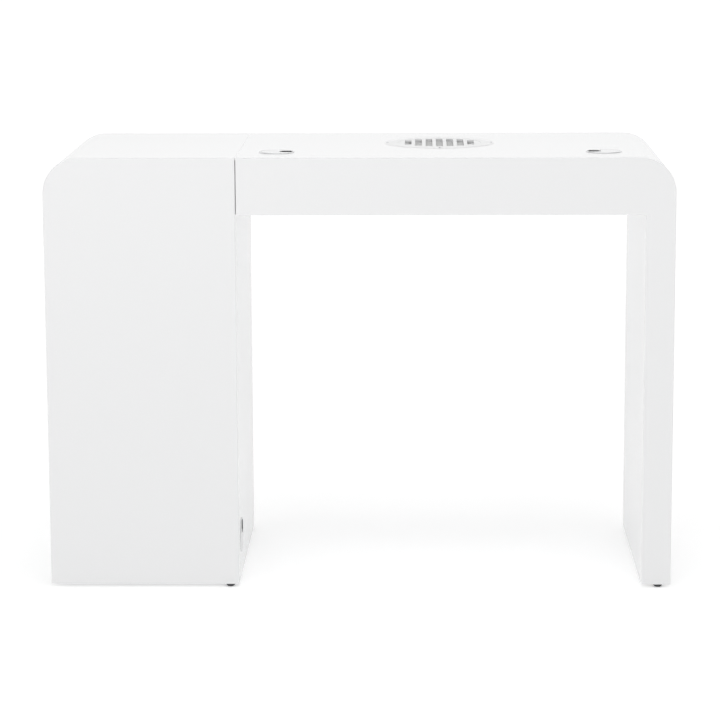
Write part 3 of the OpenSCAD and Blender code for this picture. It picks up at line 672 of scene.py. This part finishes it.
def slot_shade_lining(side, face, turn, proud):
    """A thin black edging along the open slot of a cap: painted shade, whose black walls darken the slot
    like the shadowed inside of the grommet.
    """
    cap_r, slot_r, reach, wall, height, clear = 28, 10, 5, 0.6, 3, 0.2
    low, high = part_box(side + "_grommet_cap")
    rim = math.sqrt((cap_r - clear) ** 2 - slot_r ** 2)
    inner_rim = math.sqrt((cap_r - clear) ** 2 - (slot_r - wall) ** 2)
    outer = [(rim, slot_r)] + arc(reach + slot_r, 0, slot_r, 90, 270, 16) + [(rim, -slot_r)]
    inner = [(inner_rim, wall - slot_r)] + arc(reach + slot_r, 0, slot_r - wall, 270, 90, 16)
    inner += [(inner_rim, slot_r - wall)]
    middle = (low + high) / 2
    top = Vector((middle.x, middle.y, high.z)) if face == "Z" else Vector((high.x, middle.y, middle.z))
    upright = Matrix.Identity(4) if face == "Z" else Matrix.Rotation(QUARTER_TURN, 4, "Y")
    place = at(top) @ upright @ Matrix.Rotation(math.radians(turn), 4, "Z")
    bm = bmesh.new()
    raised(bm, outer + inner, -height, proud, place)
    # the black walls are painted shade for the dark inside of the slot
    finished(bm, side + "_slot_shade_lining", MATERIALS["black_plastic"], side + "_cap")


slot_shade_lining("left", "Z", 0, 0.1)
slot_shade_lining("right", "Z", 180, 0.1)
slot_shade_lining("side", "X", 180, 0.4)


# ---- Handles ----

def rounded_end(radius, height, bevel):
    """The points of a disc's rounded rim, from the rim towards the axis."""
    turn = [math.radians(90 * i / 4) for i in range(5)]
    rim = [(radius - bevel + bevel * math.cos(a), height - bevel * (1 - math.sin(a))) for a in turn]
    return rim + [(0, height)]


def bar_handle(node):
    """A straight round bar on two posts with small collars against the panel."""
    bar_r, post_r, collar_r, bevel, half_pitch = 5, 4, 7, 1, 64
    low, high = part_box(node)
    upright = high.z - low.z > high.x - low.x
    length = (high.z - low.z if upright else high.x - low.x) / MM
    out = (high.y - low.y) / MM - bar_r
    middle = (low + high) / 2
    base = at((middle.x, low.y, middle.z))
    if upright:
        base = base @ Matrix.Rotation(QUARTER_TURN, 4, "Y")
    bm = bmesh.new()
    end = rounded_end(bar_r, length / 2, bevel)
    profile = [(r, -z) for r, z in end[::-1]] + end
    lathe(bm, profile, base @ at((0, out * MM, 0)) @ Matrix.Rotation(QUARTER_TURN, 4, "Y"))
    collar = [(0, 0), (collar_r, 0), (collar_r, 1.4), (collar_r - 0.6, 2), (post_r + 0.8, 2), (post_r, 2.8)]
    for side in (-half_pitch, half_pitch):
        post = base @ at((side * MM, 0, 0)) @ Matrix.Rotation(-QUARTER_TURN, 4, "X")
        lathe(bm, collar + [(post_r, out), (0, out)], post)
    finished(bm, node + "_turned", MATERIALS["chrome"], body_of[node], [node])


for node in ("upper_drawer_handle", "lower_drawer_handle", "door_handle"):
    bar_handle(node)


# ---- Dust extractor ----

FAN_SCREW_R = 52.4 * math.sqrt(2)


def vent_ring():
    """The flange, seat and well of the vent as one turned moulding."""
    seat_r, body_r, wall_r, well_r = 75.1, 77.4, 74.8, 72.6
    flange = [(seat_r, 0.9), (75.4, 1.2), (92, 1.2), (94.5, 1.05), (96.7, 0.72), (98.5, 0.25), (98.5, 0)]
    outside = [(body_r, 0), (body_r, -5.4), (wall_r, -5.4), (wall_r, -18)]
    inside = [(62, -18), (62, -16), (well_r, -16), (well_r, -3.2), (seat_r, -3.2), (seat_r, 0.9)]
    bm = bmesh.new()
    lathe(bm, flange + outside + inside, at((vent.x, vent.y, TOP_Z)), steps=160)
    finished(bm, "vent_ring_turned", MATERIALS["vent_plastic"], "table", ["extractor_ring"])


def filter_pad():
    """A thin round frame round a fleece pad, whose crowned top has the small dips of loose fibres."""
    frame_r, frame_hole_r, pad_r, chamfer, lip = 71.9, 66.9, 67, 0.5, 6.9
    pad_base, pad_rim, crown, dip, dips_per_metre = -3.5, 4.9, 1.6, 0.35, 160
    low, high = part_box("extractor_filter")
    middle = (low + high) / 2
    base = (low.z - high.z) / 2 / MM
    side = [(frame_r, base + chamfer), (frame_r, lip - chamfer), (frame_r - chamfer, lip)]
    hole = [(frame_hole_r + chamfer, lip), (frame_hole_r, lip - chamfer), (frame_hole_r, base + chamfer)]
    foot = [(frame_hole_r + chamfer, base), (frame_r - chamfer, base), (frame_r, base + chamfer)]
    bm = bmesh.new()
    lathe(bm, side + hole + foot, at(middle), steps=128)
    finished(bm, "filter_frame", MATERIALS["vent_plastic"], "grille")
    pad = bmesh.new()
    edge = [(0, pad_base), (pad_r, pad_base), (pad_r, pad_rim)]
    top = [(r, pad_rim) for r in range(pad_r - 2, 0, -2)] + [(0, pad_rim)]
    lathe(pad, edge + top, at(middle), steps=128)
    for vert in pad.verts:
        offset = vert.co - middle
        if offset.z > 0:
            inward = 1 - (offset.xy.length / (pad_r * MM)) ** 24
            lump = noise.fractal(vert.co * dips_per_metre, 1.0, 2.0, 4)
            vert.co.z += inward * (crown + min(max(lump, -1), 1) * dip) * MM
    finished(pad, "filter_pad", MATERIALS["filter_media"], "grille", ["extractor_filter"])


def impeller():
    """A motor cup with seven curved, twisted blades."""
    blades, tip_r, root_r, chord, middle_z = 7, 56.4, 18.2, 21, 13.25
    root_pitch, untwist, camber_depth, blade_t = 40, 14, 1.3, 1.4
    across, along = 8, 10
    place = at((vent.x, vent.y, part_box("fan_frame")[0].z))
    cup = [(0, 23), (16.5, 23), (18.2, 22.3), (19, 20.8), (19, 3.5), (17.5, 3.5), (17.5, 21), (0, 21)]
    shaft = [(0, 0.6), (1.9, 0.6), (1.9, 21.2), (0, 21.2)]
    bm = bmesh.new()
    lathe(bm, cup, place)
    lathe(bm, shaft, place, steps=24)
    for blade in range(blades):
        start = blade * 2 * math.pi / blades
        faces = []
        rows = []
        for i in range(along + 1):
            share = i / along
            radius = root_r + (tip_r - root_r) * share
            pitch = math.radians(root_pitch - untwist * share)
            row = []
            for k in range(across + 1):
                c = (k / across - 0.5) * chord
                camber = camber_depth * (1 - (2 * c / chord) ** 2)
                angle = start + (c * math.cos(pitch) - camber * math.sin(pitch)) / radius
                height = middle_z + c * math.sin(pitch) + camber * math.cos(pitch)
                row.append(bm.verts.new(place @ Vector((radius * math.cos(angle) * MM,
                                                        radius * math.sin(angle) * MM, height * MM))))
            rows.append(row)
        for near, far in zip(rows, rows[1:]):
            for k in range(across):
                faces.append(bm.faces.new((near[k], near[k + 1], far[k + 1], far[k])))
        bmesh.ops.recalc_face_normals(bm, faces=faces)
        bmesh.ops.solidify(bm, geom=faces, thickness=blade_t * MM)
    finished(bm, "impeller_moulded", MATERIALS["black_plastic"], "fan", ["fan_impeller"])


def finger_guard():
    """Round wire rings on four arms that end in screw eyelets."""
    ring_radii, eyelet_r, wire_sides = (18, 30, 42, 54), 3.4, 10
    low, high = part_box("fan_guard")
    wire = (high.z - low.z) / 2 / MM
    centre = at((low + high) / 2)
    loop = arc(0, 0, wire, 0, 360, wire_sides)
    bm = bmesh.new()
    for ring_r in ring_radii:
        lathe(bm, [(ring_r + r, z) for r, z in loop], centre)
    arm_start, arm_end = ring_radii[0], FAN_SCREW_R - eyelet_r
    arm = at(((arm_start + arm_end) / 2 * MM, 0, 0)) @ Matrix.Rotation(QUARTER_TURN, 4, "Y")
    for quarter in range(4):
        turn = centre @ Matrix.Rotation(math.radians(45 + 90 * quarter), 4, "Z")
        lathe(bm, [(eyelet_r + r, z) for r, z in loop], turn @ at((FAN_SCREW_R * MM, 0, 0)), steps=32)
        bmesh.ops.create_cone(bm, cap_ends=True, segments=wire_sides, radius1=wire * MM, radius2=wire * MM,
                              depth=(arm_end - arm_start) * MM, matrix=turn @ arm)
    finished(bm, "finger_guard_wire", MATERIALS["zinc_steel"], "table", ["fan_guard"])


vent_ring()
filter_pad()
impeller()
finger_guard()


# ---- Screws with cross recesses ----

def cross(arm, half):
    """The outline of a plus sign."""
    corner = [(arm, -half), (arm, half), (half, half)]
    outline = []
    for _ in range(4):
        outline += corner
        corner = [(-y, x) for x, y in corner]
    return outline


def screw_group(node, places, head, shank_r, length, recess):
    """Turned screws whose heads point along each place's own +Z, with a cross cut into each head."""
    recess_depth, over = 0.8, 1
    screws, recesses = bmesh.new(), bmesh.new()
    top = head[-1][1]
    for place in places:
        lathe(screws, [(0, -length), (shank_r, -length), *head], place, steps=40)
        raised(recesses, cross(recess, recess / 4), top - recess_depth, top + over, place)
    for bm in (screws, recesses):
        bmesh.ops.recalc_face_normals(bm, faces=bm.faces)
    finished(without(screws, recesses), node + "_crossed", MATERIALS["zinc_steel"], "table",
             [node])


def pan_head(radius, height):
    return [(radius * r, height * z) for r, z in ((1, 0), (1, 0.45), (0.88, 0.75), (0.65, 0.95), (0, 1))]


def around(centre, offsets, height, up=True):
    """Places at flat offsets in millimetres from a centre, facing up or down."""
    turn = Matrix.Identity(4) if up else Matrix.Rotation(math.pi, 4, "X")
    return [at((centre.x + x * MM, centre.y + y * MM, height)) @ turn for x, y in offsets]


def ring_of_four(radius, start):
    """Four flat offsets on a circle, the first at the given angle in degrees."""
    return arc(0, 0, radius, start, start + 270, 3)


OVAL_HEAD = [(1.2, -0.2), (2.6, 1.2), (2.2, 1.42), (1.3, 1.57), (0, 1.6)]
LOUVRE_SCREW_R = 89.5 * math.sqrt(2)
HOUSING_FLANGE_T = 2.4 * MM
louvre_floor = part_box("exhaust_louvre")[0].z
guard_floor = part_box("fan_guard")[0].z
flange_floor = TOP_Z - PANEL_T - HOUSING_FLANGE_T

screw_group("ring_screws", around(vent, ring_of_four(94, 0), TOP_Z), OVAL_HEAD, 1.2, 12, 1.4)
screw_group("fan_screws", around(vent, ring_of_four(FAN_SCREW_R, 45), guard_floor, up=False),
            pan_head(3.6, 2.4), 2, 29, 2)
screw_group("wood_screws", around(vent, ring_of_four(LOUVRE_SCREW_R, 45), louvre_floor, up=False)
            + around(vent, ring_of_four(90, 45), flange_floor, up=False), pan_head(3.4, 2), 1.75, 12, 1.8)


# ---- Ball strips of the runners ----

def runner_balls():
    """Rows of steel balls that stand a little out of the cages, above and below each middle member."""
    ball_r, balls, first, pitch, from_side, from_edge = 1.45, 9, 15, 8.7, 3.3, 1.5
    for name in ("upper_runner", "lower_runner"):
        low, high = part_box(name + "_middle")
        bm = bmesh.new()
        for x in (low.x + from_side * MM, high.x - from_side * MM):
            for z in (low.z + from_edge * MM, high.z - from_edge * MM):
                for i in range(balls):
                    y = low.y + (first + pitch * i) * MM
                    bmesh.ops.create_icosphere(bm, subdivisions=2, radius=ball_r * MM, matrix=at((x, y, z)))
        finished(bm, name + "_balls", MATERIALS["zinc_steel"], name)


runner_balls()
